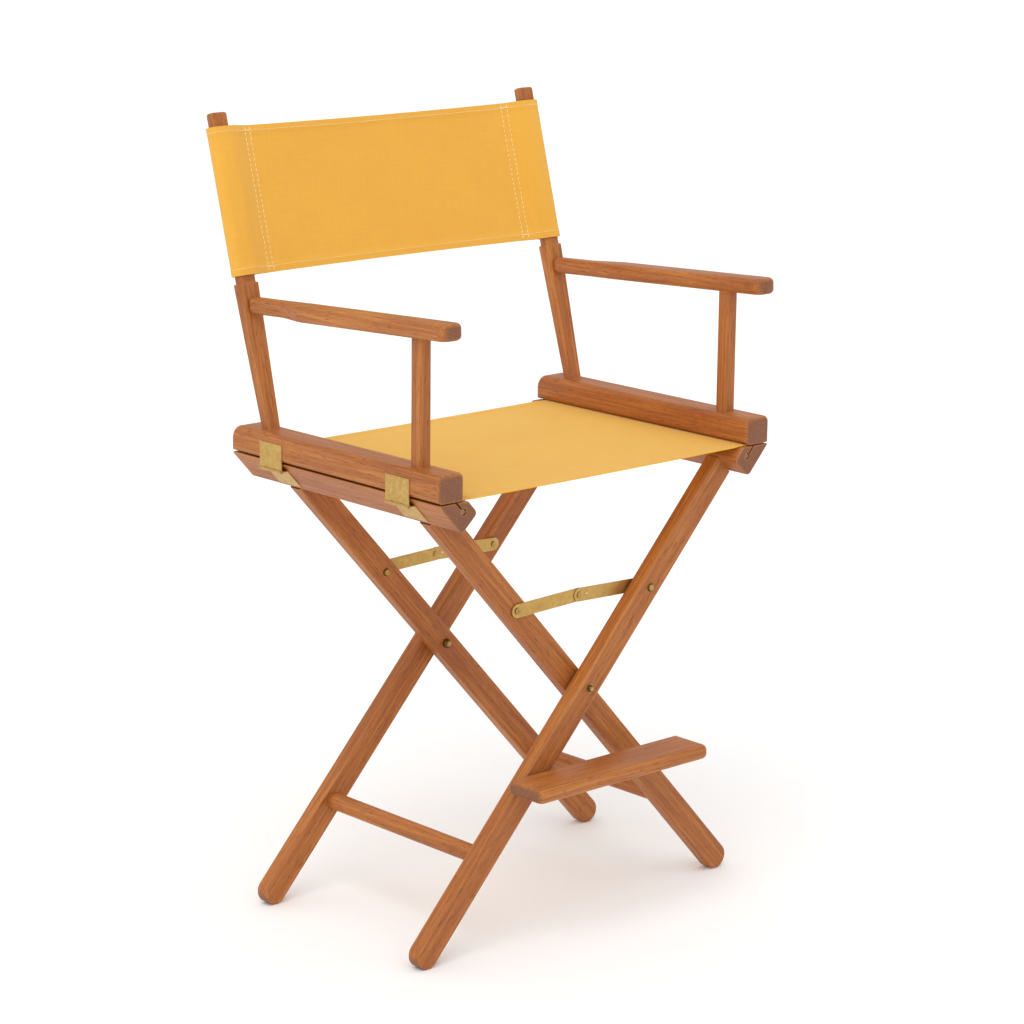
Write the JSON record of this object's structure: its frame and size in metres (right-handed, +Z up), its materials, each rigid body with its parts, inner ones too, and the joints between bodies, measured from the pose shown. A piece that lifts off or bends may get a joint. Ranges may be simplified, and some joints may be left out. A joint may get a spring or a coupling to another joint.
{
  "type": "folding chair",
  "caption": "Tall folding armchair with crossed wooden legs, a footrest, hinged side frames and a cloth seat and back.",
  "frame": {"origin": "on the floor, midway between the footrest's front edge and the back's rear edge, and midway across the chair", "axes": "+Z up, -Y the front of the chair, +X the sitter's left"},
  "size_m": [0.5556, 0.4752, 0.9853],
  "materials": {
    "wood": "satin lacquer",
    "dowel_wood": "bare",
    "canvas_seat": "plain weave",
    "canvas_back": "plain weave",
    "brass": "aged"
  },
  "bodies": {
    "outer_frame": {"leg_front_outer": "wood", "leg_rear_outer": "wood", "lower_rail_right": "wood", "stretcher_left": "wood", "centre_bolts": "brass", "centre_nuts": "brass", "centre_washers": "brass", "stay_rivets_outer": "brass", "hinge_leaves_lower_right": "brass", "hinge_screws_lower_right": "brass", "seat_dowel_right": "dowel_wood", "seat_hem_right": "canvas_seat", "footrest_bolt": "brass", "footrest_spacer": "brass"},
    "inner_frame": {"leg_front_inner": "wood", "leg_rear_inner": "wood", "lower_rail_left": "wood", "stretcher_right": "wood", "stay_rivets_inner": "brass", "hinge_leaves_lower_left": "brass", "hinge_screws_lower_left": "brass", "seat_dowel_left": "dowel_wood", "seat_hem_left": "canvas_seat", "footrest_peg": "brass"},
    "side_frame_right": {"upper_rail_right": "wood", "front_post_right": "wood", "back_post_right": "wood", "arm_right": "wood", "post_dowels_right": "dowel_wood", "arm_screw_right": "brass", "hinge_leaves_upper_right": "brass", "hinge_screws_upper_right": "brass", "hinge_pins_right": "brass", "back_sleeve_right": "canvas_back"},
    "side_frame_left": {"upper_rail_left": "wood", "front_post_left": "wood", "back_post_left": "wood", "arm_left": "wood", "post_dowels_left": "dowel_wood", "arm_screw_left": "brass", "hinge_leaves_upper_left": "brass", "hinge_screws_upper_left": "brass", "hinge_pins_left": "brass", "back_sleeve_left": "canvas_back"},
    "stay_front_outer": {"stay_front_outer": "brass", "stay_front_outer_rivet": "brass"},
    "stay_front_inner": {"stay_front_inner": "brass", "stay_front_inner_rivet": "brass"},
    "stay_rear_outer": {"stay_rear_outer": "brass", "stay_rear_outer_rivet": "brass"},
    "stay_rear_inner": {"stay_rear_inner": "brass", "stay_rear_inner_rivet": "brass"},
    "footrest": {"footrest_board": "wood"},
    "seat_canvas_left": {"seat_canvas_left": "canvas_seat"},
    "seat_canvas_right": {"seat_canvas_right": "canvas_seat"},
    "back_canvas_left": {"back_canvas_left": "canvas_back"},
    "back_canvas_right": {"back_canvas_right": "canvas_back"}
  },
  "joints": [
    {"name": "fold", "type": "hinge", "parent": "outer_frame", "child": "inner_frame", "pos_m": [0, 0, 0.3], "axis": [0, 1, 0], "range_deg": [0, 76.8]},
    {"name": "side_frame_right_hinge", "type": "hinge", "parent": "outer_frame", "child": "side_frame_right", "pos_m": [0.27555, 0, 0.566], "axis": [0, 1, 0], "range_deg": [0, 38.42]},
    {"name": "side_frame_left_hinge", "type": "hinge", "parent": "inner_frame", "child": "side_frame_left", "pos_m": [-0.27555, 0, 0.566], "axis": [0, -1, 0], "range_deg": [0, 38.42]},
    {"name": "stay_front_outer_pivot", "type": "hinge", "parent": "outer_frame", "child": "stay_front_outer", "pos_m": [0.10114, 0, 0.41077], "axis": [0, 1, 0], "range_deg": [0, 120.5]},
    {"name": "stay_front_inner_pivot", "type": "hinge", "parent": "inner_frame", "child": "stay_front_inner", "pos_m": [-0.10114, 0, 0.41077], "axis": [0, -1, 0], "range_deg": [0, 120.5]},
    {"name": "stay_rear_outer_pivot", "type": "hinge", "parent": "outer_frame", "child": "stay_rear_outer", "pos_m": [0.10114, 0, 0.41077], "axis": [0, 1, 0], "range_deg": [0, 120.5]},
    {"name": "stay_rear_inner_pivot", "type": "hinge", "parent": "inner_frame", "child": "stay_rear_inner", "pos_m": [-0.10114, 0, 0.41077], "axis": [0, -1, 0], "range_deg": [0, 120.5]},
    {"name": "footrest_pivot", "type": "hinge", "parent": "outer_frame", "child": "footrest", "pos_m": [-0.08949, 0, 0.202], "axis": [0, -1, 0], "range_deg": [0, 60]},
    {"name": "seat_canvas_left_fold", "type": "hinge", "parent": "inner_frame", "child": "seat_canvas_left", "pos_m": [-0.22197, 0, 0.57665], "axis": [0, -1, 0], "range_deg": [0, 128.21], "deforming": ["seat_canvas_left"]},
    {"name": "seat_canvas_centre_fold", "type": "hinge", "parent": "seat_canvas_left", "child": "seat_canvas_right", "pos_m": [0, 0, 0.57535], "axis": [0, 1, 0], "range_deg": [0, 179.6], "deforming": ["seat_canvas_right"]},
    {"name": "back_canvas_left_fold", "type": "hinge", "parent": "side_frame_left", "child": "back_canvas_left", "pos_m": [-0.23765, 0.19748, 0.86037], "axis": [0, 0.2672, 0.9636], "range_deg": [0, 87.24], "deforming": ["back_canvas_left"]},
    {"name": "back_canvas_centre_fold", "type": "hinge", "parent": "back_canvas_left", "child": "back_canvas_right", "pos_m": [0, 0.19623, 0.86072], "axis": [0, -0.2672, -0.9636], "range_deg": [0, 174.46], "deforming": ["back_canvas_right"]}
  ],
  "couplings": [
    {"joint": "side_frame_right_hinge", "follows": "fold", "ratio": 0.5},
    {"joint": "side_frame_left_hinge", "follows": "fold", "ratio": 0.5},
    {"joint": "stay_front_outer_pivot", "follows": "fold", "ratio": 1.5688},
    {"joint": "stay_front_inner_pivot", "follows": "fold", "ratio": 1.5688},
    {"joint": "stay_rear_outer_pivot", "follows": "fold", "ratio": 1.5688},
    {"joint": "stay_rear_inner_pivot", "follows": "fold", "ratio": 1.5688},
    {"joint": "seat_canvas_left_fold", "follows": "fold", "ratio": 1.6691},
    {"joint": "seat_canvas_centre_fold", "follows": "fold", "ratio": 2.3383},
    {"joint": "back_canvas_left_fold", "follows": "fold", "ratio": 1.1357},
    {"joint": "back_canvas_centre_fold", "follows": "fold", "ratio": 2.2714}
  ]
}
